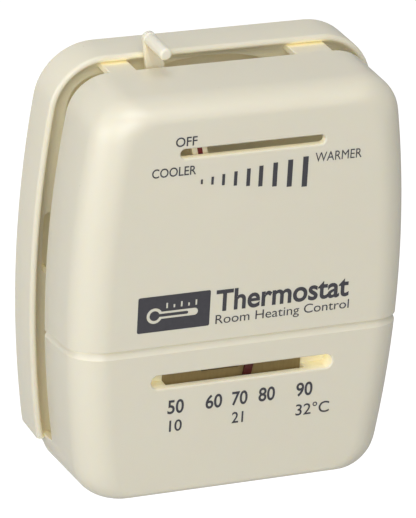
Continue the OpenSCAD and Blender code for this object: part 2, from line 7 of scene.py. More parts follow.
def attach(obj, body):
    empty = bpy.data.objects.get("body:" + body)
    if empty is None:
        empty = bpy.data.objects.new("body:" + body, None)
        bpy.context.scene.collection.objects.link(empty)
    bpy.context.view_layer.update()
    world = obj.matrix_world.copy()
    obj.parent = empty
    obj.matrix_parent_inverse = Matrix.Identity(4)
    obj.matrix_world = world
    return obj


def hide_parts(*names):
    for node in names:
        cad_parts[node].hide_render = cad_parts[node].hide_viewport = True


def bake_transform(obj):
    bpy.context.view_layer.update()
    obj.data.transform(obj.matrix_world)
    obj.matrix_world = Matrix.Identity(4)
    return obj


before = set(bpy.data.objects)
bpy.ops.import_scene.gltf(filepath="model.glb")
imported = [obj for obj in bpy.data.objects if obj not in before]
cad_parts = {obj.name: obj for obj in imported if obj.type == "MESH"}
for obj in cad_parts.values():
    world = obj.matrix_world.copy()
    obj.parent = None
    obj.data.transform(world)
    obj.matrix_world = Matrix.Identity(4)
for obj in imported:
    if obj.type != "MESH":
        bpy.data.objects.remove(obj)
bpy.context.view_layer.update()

mm = 0.001


# ---- Wall base ---------------------------------------------------------------------------------
# Injection-moulded cream ABS with bowed sides. A cove falls from the raised rim to a sunken ledge with
# vents, and the middle is a 3 mm plate that two screws hold on the wall. Four posts carry the frame.
def bowed_outline(half_w, top, bottom, top_r, bottom_r, bow_r, splits=None):
    """A closed outline [(x, z)] in mm with bowed sides, from the foot of the right side round to the left."""
    def corner(edge, r, s):
        lean = math.atan((abs(edge) - r) / bow_r)
        start = abs(edge) - r * (1 - math.sin(lean))
        cx = half_w - start * start / (2 * bow_r) - r * math.cos(lean)
        turns = [lean + (math.pi / 2 - lean) * i / 12 for i in range(13)]
        return [(cx + r * math.cos(a), s * (abs(edge) - r + r * math.sin(a))) for a in turns]
    low, high = corner(bottom, bottom_r, -1)[::-1], corner(top, top_r, 1)
    z0, z1 = low[-1][1], high[0][1]
    heights = [z0 + (z1 - z0) * t for t in (splits or [i / 24 for i in range(1, 24)])]
    right = low + [(half_w - z * z / (2 * bow_r), z) for z in heights] + high
    return right + [(-x, z) for x, z in reversed(right)]


def new_piece(name, verts, faces):
    """A mesh piece from points in metres, with its faces turned outwards."""
    mesh = bpy.data.meshes.new(name)
    mesh.from_pydata(verts, [], faces)
    piece = bpy.data.objects.new(name, mesh)
    bpy.context.scene.collection.objects.link(piece)
    turn_out(piece)
    return piece


def turn_out(piece, merge=0.0):
    """Points the faces outwards, after joining points that lie closer together than merge."""
    bm = bmesh.new()
    bm.from_mesh(piece.data)
    if merge:
        bmesh.ops.remove_doubles(bm, verts=bm.verts, dist=merge)
    bmesh.ops.recalc_face_normals(bm, faces=bm.faces)
    bm.to_mesh(piece.data)
    bm.free()


def loft(name, rings):
    """A closed solid through rings of (x, depth, z) points in mm, all of one length, flat at both ends."""
    n = len(rings[0])
    verts = [(x * mm, -d * mm, z * mm) for ring in rings for x, d, z in ring]
    faces = [tuple(range(n)), tuple((len(rings) - 1) * n + k for k in range(n))]
    for i in range(len(rings) - 1):
        for k in range(n):
            a, b = i * n + k, i * n + (k + 1) % n
            faces.append((a, b, b + n, a + n))
    return new_piece(name, verts, faces)


def prism(name, outline, from_d, to_d):
    """A straight solid from an outline in mm, between two depths out of the wall."""
    return loft(name, [[(x, d, z) for x, z in outline] for d in (from_d, to_d)])


def circle(x, z, r, n=48):
    return [(x + r * math.cos(2 * math.pi * k / n), z + r * math.sin(2 * math.pi * k / n)) for k in range(n)]


def turned(name, x, z, profile, n=48):
    """A turned solid about an axis out of the wall, through (depth, radius) pairs in mm."""
    return loft(name, [[(px, d, pz) for px, pz in circle(x, z, r, n)] for d, r in profile])


def stadium(x, z, length, height, grow=0.0, n=20):
    """A slot outline with round ends, lying along x."""
    r, run = height / 2 + grow, (length - height) / 2
    right = [(x + run + r * math.cos(a), z + r * math.sin(a)) for a in
             (math.pi * (k / n - 0.5) for k in range(n + 1))]
    return right + [(2 * x - px, 2 * z - pz) for px, pz in right]


def gather(name, pieces):
    """One mesh from several separate solids."""
    bm = bmesh.new()
    for piece in pieces:
        bm.from_mesh(piece.data)
        bpy.data.objects.remove(piece)
    mesh = bpy.data.meshes.new(name)
    bm.to_mesh(mesh)
    bm.free()
    piece = bpy.data.objects.new(name, mesh)
    bpy.context.scene.collection.objects.link(piece)
    return piece


def settle(piece):
    """Turns a piece's modifiers into plain mesh."""
    bpy.context.view_layer.update()
    graph = bpy.context.evaluated_depsgraph_get()
    mesh = bpy.data.meshes.new_from_object(piece.evaluated_get(graph))
    piece.modifiers.clear()
    piece.data = mesh


def carve(piece, tool, how="DIFFERENCE"):
    """Cuts the tool out of a piece, or joins it on, and uses the tool up."""
    cut = piece.modifiers.new("carve", "BOOLEAN")
    cut.operation, cut.solver, cut.object = how, "EXACT", tool
    settle(piece)
    bpy.data.objects.remove(tool)


def shade(piece, material, angle=18):
    piece.data.materials.clear()
    piece.data.materials.append(material)
    for face in piece.data.polygons:
        face.use_smooth, face.material_index = True, 0
    piece.data.set_sharp_from_angle(angle=math.radians(angle))


def link(tree, source, target):
    tree.links.new(source, target)


def moulding_group():
    """Fine mould texture, slow patches of tone and small scuffs, from the piece's own place in space."""
    group = bpy.data.node_groups.new("moulding", "ShaderNodeTree")
    for socket, value in (("Grain Scale", 5200.0), ("Patch Scale", 38.0), ("Scuff Scale", 260.0)):
        s = group.interface.new_socket(name=socket, in_out="INPUT", socket_type="NodeSocketFloat")
        s.default_value = value
    for socket in ("Grain", "Patches", "Scuffs"):
        group.interface.new_socket(name=socket, in_out="OUTPUT", socket_type="NodeSocketFloat")
    add = group.nodes.new
    gin, gout, place = add("NodeGroupInput"), add("NodeGroupOutput"), add("ShaderNodeTexCoord")
    grain, patches, scuffs = add("ShaderNodeTexNoise"), add("ShaderNodeTexNoise"), add("ShaderNodeTexNoise")
    grain.inputs["Detail"].default_value = 3.0
    patches.inputs["Detail"].default_value = 2.0
    scuffs.inputs["Detail"].default_value = 6.0
    scuffs.inputs["Roughness"].default_value = 0.7
    keep = add("ShaderNodeMapRange")
    keep.inputs["From Min"].default_value, keep.inputs["From Max"].default_value = 0.56, 0.74
    for node, socket in ((grain, "Grain Scale"), (patches, "Patch Scale"), (scuffs, "Scuff Scale")):
        link(group, place.outputs["Object"], node.inputs["Vector"])
        link(group, gin.outputs[socket], node.inputs["Scale"])
    link(group, grain.outputs[0], gout.inputs["Grain"])
    link(group, patches.outputs[0], gout.inputs["Patches"])
    link(group, scuffs.outputs[0], keep.inputs["Value"])
    link(group, keep.outputs[0], gout.inputs["Scuffs"])
    return group


moulding = moulding_group()


def mix_colour(tree, factor, first, second):
    node = tree.nodes.new("ShaderNodeMix")
    node.data_type = "RGBA"
    for socket, value in ((node.inputs[6], first), (node.inputs[7], second)):
        if isinstance(value, tuple):
            socket.default_value = (*value, 1)
        else:
            link(tree, value, socket)
    link(tree, factor, node.inputs[0])
    return node.outputs[2]


# the colour of the painted glow in a piece's hollows, and how far light scatters inside the plastic
painted_glow_tone, scatter = (1.0, 0.87, 0.50), (1.0, 0.65, 0.28)
scuff_shine = 0.05


def plastic(name, tone, shadow_tone, rough=0.42, grain=0.012, shadow_reach=7.0, patch=0.03, glow=0.0,
            painted_glow=0.0):
    """Moulded plastic: fine grain, slow patches of tone and faint scuffs. Where it faces itself its colour
    turns to a painted shade tone and it gives off a faint painted glow, and a thin wall lets some light
    through."""
    material = bpy.data.materials.new(name)
    material.use_nodes = True
    tree = material.node_tree
    skin = tree.nodes["Principled BSDF"]
    life = tree.nodes.new("ShaderNodeGroup")
    life.node_tree = moulding
    near = tree.nodes.new("ShaderNodeAmbientOcclusion")
    near.samples = 8
    near.inputs["Distance"].default_value = shadow_reach * mm
    skin.inputs["Subsurface Weight"].default_value = glow
    skin.inputs["Subsurface Radius"].default_value = scatter
    skin.inputs["Subsurface Scale"].default_value = 2.0 * mm
    # painted shade: the less open a spot is, the further its colour turns to the shadow tone
    painted_shade_mask = tree.nodes.new("ShaderNodeMapRange")
    painted_shade_mask.inputs["From Min"].default_value, painted_shade_mask.inputs["From Max"].default_value = 0.78, 0.15
    link(tree, near.outputs["AO"], painted_shade_mask.inputs["Value"])
    dull = tuple(c * (1 - patch) for c in tone)
    colour = mix_colour(tree, life.outputs["Patches"], tone, dull)
    colour = mix_colour(tree, painted_shade_mask.outputs[0], colour, shadow_tone)
    link(tree, colour, skin.inputs["Base Color"])
    # painted glow: the same hollows give off a faint light of the glow tone, though they are no lamp
    skin.inputs["Emission Strength"].default_value = painted_glow
    through = mix_colour(tree, painted_shade_mask.outputs[0], (0, 0, 0), painted_glow_tone)
    link(tree, through, skin.inputs["Emission Color"])
    worn = tree.nodes.new("ShaderNodeMapRange")
    worn.inputs["To Min"].default_value, worn.inputs["To Max"].default_value = rough, rough - scuff_shine
    link(tree, life.outputs["Scuffs"], worn.inputs["Value"])
    link(tree, worn.outputs[0], skin.inputs["Roughness"])
    bump = tree.nodes.new("ShaderNodeBump")
    bump.inputs["Strength"].default_value, bump.inputs["Distance"].default_value = 0.6, grain * mm
    link(tree, life.outputs["Grain"], bump.inputs["Height"])
    link(tree, bump.outputs[0], skin.inputs["Normal"])
    return material


cream = (0.600, 0.568, 0.462)
# its shadow tone is lighter and yellower than its own colour: painted bounce light in its hollows, with a
# faint painted glow
cream_abs = plastic("cream_abs", cream, (0.93, 0.85, 0.58), rough=0.32, shadow_reach=40, glow=0.3,
                    painted_glow=0.08)
base_hw, base_top, base_bow, base_corner_r = 48.0, 59.0, 325.0, 15.5
# how far in from the outline, and how far out from the wall: the rim's side, its round top, the cove, the
# ledge and the step down to the plate
rim_profile = [(0.3, 0), (0, 0.3), (0, 10.9), (0.09, 11.35), (0.33, 11.7), (0.7, 11.93), (1.1, 12),
               (1.45, 11.9), (1.75, 11.6), (2.0, 11.1), (2.3, 10.4), (2.75, 9.6), (3.35, 8.95), (4.1, 8.4),
               (5.0, 8.08), (5.8, 8), (6.3, 8), (6.52, 7.92), (6.6, 7.7), (6.6, 3.4), (6.95, 3)]


def rim_ring(inset, depth):
    foot = min(inset, 4.3)
    round_r = base_corner_r - inset
    edge = bowed_outline(base_hw - inset, base_top - inset, -base_top + foot, round_r, round_r, base_bow)
    return [(x, depth, z) for x, z in edge]


wall_base = loft("wall_base_shell", [rim_ring(i, d) for i, d in rim_profile])
post_places = [(-29.5, -32.0), (29.5, -32.0), (-29.5, -7.5), (29.5, 10.5)]
base_posts = [turned("post", x, z, [(2.5, 3.4), (3.4, 3.0), (5.8, 3.0), (6, 2.8)]) for x, z in post_places]
carve(wall_base, gather("posts", base_posts), "UNION")
rim_stop, foot_hw = -47.5, base_hw - 4.5
lower = bowed_outline(foot_hw, base_top, -base_top - 0.01, base_corner_r, 9, base_bow)
foot = [p for p in lower[:len(lower) // 2] if p[1] < rim_stop - 0.2]
side_cut = foot + [(foot_hw - rim_stop ** 2 / (2 * base_bow), rim_stop), (60, rim_stop), (60, -70),
                   (foot[0][0], -70)]
arc_z, arc_r = 5.0, 50.0
arc_half = math.degrees(math.acos((51.4 - arc_z) / arc_r))
arc = [(arc_r * math.sin(math.radians(a)), arc_z + arc_r * math.cos(math.radians(a)))
       for a in (arc_half * (1 - k / 12) for k in range(25))]
cuts = [prism("rim_stop", [(-60, rim_stop), (60, rim_stop), (60, -70), (-60, -70)], 8, 14),
        prism("foot_r", side_cut, -1, 8.5),
        prism("foot_l", [(-x, z) for x, z in side_cut], -1, 8.5),
        prism("arc", arc + [(-18.6, 49), (18.6, 49)], 3.02, 14),
        prism("wire_entry", circle(0, 18, 6.5), -1, 4)]
for s in (-1, 1):
    cuts += [prism("vent", [(s * 42.2 - (z - 7), x + 7) for x, z in stadium(0, 7, 17, 3.2)], 3.02, 9),
             turned("wall_screw", 0, 2 + s * 41.65, [(-1, 2.2), (2.2, 2.2), (3.2, 3.2), (4, 3.2)])]
cuts += [turned("post_bore", x, z, [(1, 1.2), (7, 1.2)], 24) for x, z in post_places]
for cut in cuts:
    carve(wall_base, cut)
turn_out(wall_base, 1e-6)
shade(wall_base, cream_abs)
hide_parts("wall_base")
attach(wall_base, "base")


# ---- Switch frame and its screws ---------------------------------------------------------------
# A zinc-plated steel stamping, 1 mm thick, that stands on the base's four posts. Slotted pan-head screws
# hold it there, each turned home to its own angle. Both are dull bright metal with fine rolling lines.
def metal_group():
    """Fine rolling lines, slow tarnish and small scratches on sheet and turned metal."""
    group = bpy.data.node_groups.new("worked_metal", "ShaderNodeTree")
    for socket, value in (("Line Scale", 2600.0), ("Stretch", 0.06), ("Tarnish Scale", 130.0)):
        s = group.interface.new_socket(name=socket, in_out="INPUT", socket_type="NodeSocketFloat")
        s.default_value = value
    for socket in ("Lines", "Tarnish", "Scratches"):
        group.interface.new_socket(name=socket, in_out="OUTPUT", socket_type="NodeSocketFloat")
    add = group.nodes.new
    gin, gout, place = add("NodeGroupInput"), add("NodeGroupOutput"), add("ShaderNodeTexCoord")
    squeeze, lay = add("ShaderNodeCombineXYZ"), add("ShaderNodeVectorMath")
    lay.operation = "MULTIPLY"
    squeeze.inputs["Y"].default_value = squeeze.inputs["Z"].default_value = 1.0
    link(group, gin.outputs["Stretch"], squeeze.inputs["X"])
    link(group, place.outputs["Object"], lay.inputs[0])
    link(group, squeeze.outputs[0], lay.inputs[1])
    lines, tarnish, scratches = [add("ShaderNodeTexNoise") for _ in range(3)]
    lines.inputs["Detail"].default_value, tarnish.inputs["Detail"].default_value = 4.0, 5.0
    scratches.inputs["Scale"].default_value, scratches.inputs["Detail"].default_value = 900.0, 8.0
    keep = add("ShaderNodeMapRange")
    keep.inputs["From Min"].default_value, keep.inputs["From Max"].default_value = 0.58, 0.70
    link(group, lay.outputs[0], lines.inputs["Vector"])
    link(group, gin.outputs["Line Scale"], lines.inputs["Scale"])
    link(group, place.outputs["Object"], tarnish.inputs["Vector"])
    link(group, gin.outputs["Tarnish Scale"], tarnish.inputs["Scale"])
    link(group, place.outputs["Object"], scratches.inputs["Vector"])
    link(group, scratches.outputs[0], keep.inputs["Value"])
    link(group, lines.outputs[0], gout.inputs["Lines"])
    link(group, tarnish.outputs[0], gout.inputs["Tarnish"])
    link(group, keep.outputs[0], gout.inputs["Scratches"])
    return group


worked_metal = metal_group()


def metal(name, tone, tarnish_tone, rough, spread=0.12, stretch=0.06, line_scale=2600.0, relief=0.004):
    """Bare or plated metal: rolling lines in its relief and roughness, and a slow tarnish in its colour."""
    material = bpy.data.materials.new(name)
    material.use_nodes = True
    tree = material.node_tree
    skin = tree.nodes["Principled BSDF"]
    skin.inputs["Metallic"].default_value = 1.0
    life = tree.nodes.new("ShaderNodeGroup")
    life.node_tree = worked_metal
    life.inputs["Stretch"].default_value, life.inputs["Line Scale"].default_value = stretch, line_scale
    patchy = tree.nodes.new("ShaderNodeMapRange")
    patchy.inputs["From Min"].default_value, patchy.inputs["From Max"].default_value = 0.42, 0.68
    link(tree, life.outputs["Tarnish"], patchy.inputs["Value"])
    colour = mix_colour(tree, patchy.outputs[0], tone, tarnish_tone)
    scratched = mix_colour(tree, life.outputs["Scratches"], colour, tuple(min(1, c * 1.12) for c in tone))
    link(tree, scratched, skin.inputs["Base Color"])
    matt = tree.nodes.new("ShaderNodeMapRange")
    matt.inputs["To Min"].default_value = rough - spread / 2
    matt.inputs["To Max"].default_value = rough + spread / 2
    link(tree, life.outputs["Lines"], matt.inputs["Value"])
    link(tree, matt.outputs[0], skin.inputs["Roughness"])
    bump = tree.nodes.new("ShaderNodeBump")
    bump.inputs["Strength"].default_value, bump.inputs["Distance"].default_value = 0.5, relief * mm
    link(tree, life.outputs["Lines"], bump.inputs["Height"])
    link(tree, bump.outputs[0], skin.inputs["Normal"])
    return material


def finish_piece(piece, node, body, material, angle=30):
    """Gives a piece its material and lets it stand for its CAD node on the node's body."""
    shade(piece, material, angle)
    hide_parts(node)
    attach(piece, body)


def dress(node, material):
    """A node whose shape is right keeps it and takes its finish."""
    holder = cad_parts[node]
    if not holder.material_slots:
        holder.data.materials.append(material)
    for place in holder.material_slots:
        place.material = material


def soften(piece, width, segments=2, angle=40):
    """Rounds the sharp edges of a piece, as a mould does."""
    edge = piece.modifiers.new("soften", "BEVEL")
    edge.width, edge.segments, edge.limit_method = width * mm, segments, "ANGLE"
    edge.angle_limit, edge.use_clamp_overlap = math.radians(angle), True
    settle(piece)


def box_piece(name, x0, x1, z0, z1, from_d, to_d, round_to=0.0):
    piece = prism(name, [(x0, z0), (x1, z0), (x1, z1), (x0, z1)], from_d, to_d)
    if round_to:
        soften(piece, round_to)
    return piece


def slotted_head(name, shank_r, head_r, head_t, from_d, seat_d):
    """A pan-head screw about the origin, driver slot and all, made once and set out by a node tree."""
    dome = [(seat_d + head_t - 0.35 * head_t * (1 - math.cos(a)), head_r * (0.62 + 0.38 * math.sin(a)))
            for a in (math.radians(k) for k in (90, 60, 30, 0))]
    dome = [(seat_d, head_r * 0.97), (seat_d + 0.12, head_r)] + dome
    threads = [(from_d, shank_r * 0.7)]
    d = from_d + 0.3
    while d < seat_d - 0.2:
        threads += [(d, shank_r), (d + 0.25, shank_r * 0.84)]
        d += 0.5
    screw = turned(name, 0, 0, threads + [(seat_d, shank_r)] + dome, 28)
    slot_foot, slot_half = seat_d + head_t * 0.5, 0.38
    carve(screw, box_piece("driver_slot", -head_r - 1, head_r + 1, -slot_half, slot_half, slot_foot,
                           seat_d + head_t + 2))
    turn_out(screw, 1e-6)
    return screw


def name_inputs(tree, **kinds):
    """Gives a node tree its geometry in and out, and an input for each named size."""
    tree.interface.new_socket(name="Geometry", in_out="INPUT", socket_type="NodeSocketGeometry")
    for title, kind in kinds.items():
        tree.interface.new_socket(name=title, in_out="INPUT", socket_type="NodeSocket" + kind)
    tree.interface.new_socket(name="Geometry", in_out="OUTPUT", socket_type="NodeSocketGeometry")


def make_real(tree, copies, gout, material):
    """Ends a node tree: the copies become mesh of their own and take the material."""
    real, paint_on = tree.nodes.new("GeometryNodeRealizeInstances"), tree.nodes.new("GeometryNodeSetMaterial")
    paint_on.inputs["Material"].default_value = material
    link(tree, copies.outputs[0], real.inputs[0])
    link(tree, real.outputs[0], paint_on.inputs["Geometry"])
    link(tree, paint_on.outputs[0], gout.inputs[0])


def grow_from(name, places, tree, **values):
    """Runs a node tree on points (x, depth, z) in mm, and keeps what it makes as plain mesh."""
    piece = new_piece(name, [(x * mm, -d * mm, z * mm) for x, d, z in places], [])
    step = piece.modifiers.new(name, "NODES")
    step.node_group = tree
    sockets = {s.name: s.identifier for s in tree.interface.items_tree if s.in_out == "INPUT"}
    for title, value in values.items():
        step[sockets[title]] = value
    settle(piece)
    return piece


def set_out(name, pattern, places, material, seed=1, spin=math.pi):
    """Sets a copy of the pattern at each place (x, depth, z) in mm, each turned by its own amount."""
    tree = bpy.data.node_groups.new("set_out_" + name, "GeometryNodeTree")
    name_inputs(tree, Spin="Float", Seed="Int")
    add = tree.nodes.new
    gin, gout, source = add("NodeGroupInput"), add("NodeGroupOutput"), add("GeometryNodeObjectInfo")
    source.inputs["Object"].default_value = pattern
    chance, turn_by = add("FunctionNodeRandomValue"), add("ShaderNodeCombineXYZ")
    link(tree, gin.outputs["Spin"], chance.inputs[3])
    link(tree, gin.outputs["Seed"], chance.inputs["Seed"])
    link(tree, chance.outputs[1], turn_by.inputs["Y"])
    copies = add("GeometryNodeInstanceOnPoints")
    link(tree, gin.outputs["Geometry"], copies.inputs["Points"])
    link(tree, source.outputs["Geometry"], copies.inputs["Instance"])
    link(tree, turn_by.outputs[0], copies.inputs["Rotation"])
    make_real(tree, copies, gout, material)
    piece = grow_from(name, places, tree, Spin=spin, Seed=seed)
    bpy.data.objects.remove(pattern)
    return piece


zinc_steel = metal("zinc_steel", (0.56, 0.57, 0.58), (0.44, 0.45, 0.45), rough=0.36)
dress("mechanism_frame", zinc_steel)
head = slotted_head("frame_screw", 1.2, 2.4, 1.5, 1, 7)
frame_screws = set_out("frame_screws_turned", head, [(x, 0, z) for x, z in post_places], zinc_steel, seed=7)
finish_piece(frame_screws, "frame_screws", "base", zinc_steel)


# ---- Pivot stud, washers and clip --------------------------------------------------------------
# A turned brass stud is staked into the frame. A spring washer behind the lever's hub gives the lever its
# drag, and a plain washer and a spring clip in the stud's groove keep the hub on.
brass = metal("brass", (0.62, 0.43, 0.16), (0.42, 0.28, 0.11), rough=0.30, stretch=0.5)
spring_steel = metal("spring_steel", (0.33, 0.34, 0.36), (0.22, 0.20, 0.19), rough=0.34)
dress("pivot_stud", brass)
for washer in ("friction_washer", "retaining_clip"):
    dress(washer, spring_steel)
dress("hub_washer", zinc_steel)


# ---- Set lever ---------------------------------------------------------------------------------
# Moulded cream nylon. Its hub turns on the stud, its flat arm passes between the rim and the cover to a
# round finger peg, and a leg carries the indicator tab, with its red stripe, forward to the window.
pivot_z, set_z, peg_z = -20.0, 42.7, 63.2
lean = math.atan(14.3 / (set_z - pivot_z))
reach_tab, reach_peg = (set_z - pivot_z) / math.cos(lean), (peg_z - pivot_z) / math.cos(lean)


def lean_over(piece):
    """Turns a piece made upright about the pivot to the lever's rest angle."""
    piece.data.transform(Matrix.Translation((0, 0, pivot_z * mm)) @ Matrix.Rotation(-lean, 4, "Y"))


# the second colour is its painted shade tone in hollows, lighter and warmer than its own colour
nylon = plastic("nylon_cream", (0.64, 0.615, 0.52), (0.80, 0.68, 0.42), rough=0.34, grain=0.006,
                shadow_reach=25, glow=0.3)
arm_hw, tip_hw, arm_back, arm_front = 2.5, 1.85, 12.8, 14.4
arm = prism("arm", [(-arm_hw, 3), (arm_hw, 3), (arm_hw, reach_peg - 7), (tip_hw, reach_peg),
                    (-tip_hw, reach_peg), (-arm_hw, reach_peg - 7)], arm_back, arm_front)
soften(arm, 0.3)
shoulder = turned("shoulder", 0, reach_peg, [(12.4, 1.5), (12.65, 1.85), (14.2, 1.85), (14.5, 1.6)], 40)
hub = [(7.9, 5.7), (8.2, 6), (16.7, 6), (17, 5.7), (17, 3.4), (23, 3.4), (23.1, 3.3)]
set_lever = turned("set_lever_body", 0, 0, hub, 64)
peg_end, peg_r, peg_round = arm_back + 12.5, 1.65, 0.75
peg = [(12.2, 1.2), (12.45, 1.55), (arm_back, peg_r)]
for a in (math.radians(k * 15) for k in range(7)):
    peg.append((peg_end - peg_round + peg_round * math.sin(a), peg_r - peg_round * (1 - math.cos(a))))
tab_z0, tab_z1 = reach_tab - 3.5, reach_tab + 3.5
leg = box_piece("leg", -1.2, 1.2, reach_tab - 7, reach_tab - 2.4, 12.9, 38.4, 0.3)
tab = box_piece("tab", -2.05, 2.05, tab_z0, tab_z1, 37.6, 38.8, 0.2)
rib = box_piece("rib", -0.6, 0.6, 5, reach_tab - 6.5, 14.2, 15.8, 0.2)
for part in (arm, shoulder, turned("peg", 0, reach_peg, peg, 40), leg, tab, rib):
    carve(set_lever, part, "UNION")
carve(set_lever, turned("stud_bore", 0, 0, [(7, 2.05), (24, 2.05)], 48))
turn_out(set_lever, 1e-6)
lean_over(set_lever)
finish_piece(set_lever, "set_lever", "lever", nylon, 25)

# the second colour is its painted shade tone in hollows
red_paint = plastic("red_paint", (0.150, 0.0045, 0.0060), (0.10, 0.003, 0.004), rough=0.5, grain=0.004,
                    patch=0.12)
stripe = box_piece("indicator_paint", -0.63, 0.63, tab_z0 + 0.1, tab_z1 - 0.1, 38.795, 38.95, 0.03)
lean_over(stripe)
finish_piece(stripe, "indicator_stripe", "lever", red_paint)


# ---- Bimetal coil ------------------------------------------------------------------------------
# A strip of two metals, 5 mm wide and 0.5 mm thick, wound in a flat coil. A brass collar clamps its inner
# end to the lever's hub, so that turning the lever winds it; warmth opens or closes its outer end.
def coiled_strip(name, centre_z, r_in, r_out, turns, thick, from_d, to_d, steps=56):
    """A flat spiral strip with eased edges, which ends at the foot of the coil, running to the left."""
    rings, count, ease = [], int(steps * turns), thick * 0.28
    half = (to_d - from_d) / 2
    for i in range(count + 1):
        a = math.radians(270 + 360 * turns * (1 - i / count))
        r = r_in + (r_out - r_in) * i / count
        ring = []
        for over, edge in ((-0.5, -half + ease), (-0.22, -half), (0.22, -half), (0.5, -half + ease),
                           (0.5, half - ease), (0.22, half), (-0.22, half), (-0.5, half - ease)):
            rr = r + over * thick
            ring.append((rr * math.cos(a), from_d + half + edge, centre_z + rr * math.sin(a)))
        rings.append(ring)
    return loft(name, rings)


bimetal = metal("bimetal", (0.46, 0.41, 0.34), (0.33, 0.28, 0.22), rough=0.33, spread=0.16, stretch=1.0,
                line_scale=1800)
dress("coil_clamp", brass)
main_coil = coiled_strip("bimetal_coil_wound", pivot_z, 3.75, 13, 3, 0.5, 17.6, 22.6)
shade(main_coil, bimetal, 35)
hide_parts("bimetal_coil")
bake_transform(main_coil)


# ---- Contacts and magnet -----------------------------------------------------------------------
# The coil's outer end runs on as an arm with a silver contact and a steel armature. It closes on a fixed
# contact in a brass bracket, where a small magnet snaps it shut; a screw in the bracket sets the gap.
silver = metal("silver", (0.80, 0.79, 0.76), (0.60, 0.58, 0.55), rough=0.22, stretch=1.0)
# the second colour is its painted shade tone in hollows
ferrite = plastic("ferrite", (0.055, 0.055, 0.060), (0.03, 0.03, 0.03), rough=0.62, grain=0.03,
                  shadow_reach=2, patch=0.3)
for node, material in (("contact_arm", bimetal), ("moving_contact", silver), ("armature", zinc_steel),
                       ("fixed_contact", silver), ("contact_magnet", ferrite), ("contact_bracket", brass),
                       ("calibration_screw", brass)):
    dress(node, material)
head = slotted_head("bracket_screw_pattern", 1.2, 2.4, 1.4, 8, 17.8)
bracket_screw = set_out("bracket_screw_turned", head, [(-28, 0, -23.3)], zinc_steel, seed=3)
finish_piece(bracket_screw, "bracket_screw", "base", zinc_steel)


# ---- Heat anticipator --------------------------------------------------------------------------
# A phenolic board with resistance wire wound on a curved card. A brass wiper on a rivet slides along the
# winding to set how early the heater warms the bimetal.
def phenolic_board(name, dark, light):
    """Brown paper laminate: crossed fibres in the colour, a faint sheen, and a weave in the relief."""
    material = bpy.data.materials.new(name)
    material.use_nodes = True
    tree = material.node_tree
    skin = tree.nodes["Principled BSDF"]
    place, weave = tree.nodes.new("ShaderNodeTexCoord"), tree.nodes.new("ShaderNodeTexNoise")
    lie = tree.nodes.new("ShaderNodeMapping")
    lie.inputs["Scale"].default_value = (1.0, 1.0, 0.18)
    weave.inputs["Scale"].default_value, weave.inputs["Detail"].default_value = 1500.0, 5.0
    link(tree, place.outputs["Object"], lie.inputs["Vector"])
    link(tree, lie.outputs[0], weave.inputs["Vector"])
    link(tree, mix_colour(tree, weave.outputs[0], dark, light), skin.inputs["Base Color"])
    dull = tree.nodes.new("ShaderNodeMapRange")
    dull.inputs["To Min"].default_value, dull.inputs["To Max"].default_value = 0.42, 0.58
    link(tree, weave.outputs[0], dull.inputs["Value"])
    link(tree, dull.outputs[0], skin.inputs["Roughness"])
    bump = tree.nodes.new("ShaderNodeBump")
    bump.inputs["Strength"].default_value, bump.inputs["Distance"].default_value = 0.5, 0.01 * mm
    link(tree, weave.outputs[0], bump.inputs["Height"])
    link(tree, bump.outputs[0], skin.inputs["Normal"])
    return material


phenolic = phenolic_board("phenolic", (0.105, 0.050, 0.022), (0.185, 0.098, 0.045))
dress("anticipator_board", phenolic)
wiper_x, wiper_z, track_r, card_mid = 19.0, -7.0, 9, 9.6
resistance_wire = metal("resistance_wire", (0.42, 0.33, 0.24), (0.28, 0.21, 0.15), rough=0.38, stretch=1.0)
card_section = [(8.25, 8.85), (9.75, 8.85), (9.85, 8.95), (9.85, 10.2), (9.75, 10.3), (8.25, 10.3),
                (8.15, 10.2), (8.15, 8.95)]
card_rings = []
for a in (math.radians(-48 + 2 * k) for k in range(49)):
    card_rings.append([(r * math.cos(a) + wiper_x, d, r * math.sin(a) + wiper_z) for r, d in card_section])
card = loft("card", card_rings)

# each turn of the wire is a round that is held flat against the card's four sides
turns, wire_r, turn_half, flatten = 62, 0.14, 0.86, 1.35
wire = []
for t in (k / 12 for k in range(turns * 12 + 1)):
    a = math.radians(-46 + 92 * t / turns)
    s = 2 * math.pi * t
    r = track_r + turn_half * max(-1, min(1, flatten * math.cos(s)))
    d = card_mid + turn_half * max(-1, min(1, flatten * math.sin(s)))
    wire.append((wiper_x + r * math.cos(a), d, wiper_z + r * math.sin(a)))


def strand(name, route, r, sides=6):
    """A round wire or lead along (x, depth, z) points in mm."""
    points = [Vector(p) for p in route]
    rings, side = [], None
    for i, p in enumerate(points):
        along = (points[min(i + 1, len(points) - 1)] - points[max(i - 1, 0)]).normalized()
        if side is None:
            side = along.orthogonal().normalized()
        side = (side - along * side.dot(along)).normalized()
        other = along.cross(side)
        angles = (2 * math.pi * k / sides for k in range(sides))
        rings.append([tuple(p + r * (math.cos(a) * side + math.sin(a) * other)) for a in angles])
    return loft(name, rings)


winding = gather("anticipator_winding_turns", [card, strand("wire", wire, wire_r, 5)])
finish_piece(winding, "anticipator_winding", "base", resistance_wire, 50)
dress("anticipator_arm", brass)
dress("anticipator_rivet", zinc_steel)


# ---- Terminals and leads -----------------------------------------------------------------------
# A phenolic block at the foot of the base carries two brass plates with clamping screws. A red lead runs
# from one to the contact bracket, and a white lead from the other to the heat anticipator.
dress("insulating_block", phenolic)
dress("terminal_block", phenolic)
for plate in ("terminal_plate_r", "terminal_plate_w"):
    dress(plate, brass)
head = slotted_head("terminal_screw", 1.2, 3, 1.8, 4, 10)
terminal_screws = set_out("terminal_screws_turned", head, [(-14, 0, -48), (14, 0, -48)], zinc_steel, seed=12)
finish_piece(terminal_screws, "terminal_screws", "base", zinc_steel)


def eased(route, times=4):
    """A route with its corners cut again and again, so that a lead bends smoothly."""
    for _ in range(times):
        cut = [route[0]]
        for a, b in zip(route, route[1:]):
            cut += [tuple(p * (1 - t) + q * t for p, q in zip(a, b)) for t in (0.25, 0.75)]
        route = cut + [route[-1]]
    return route


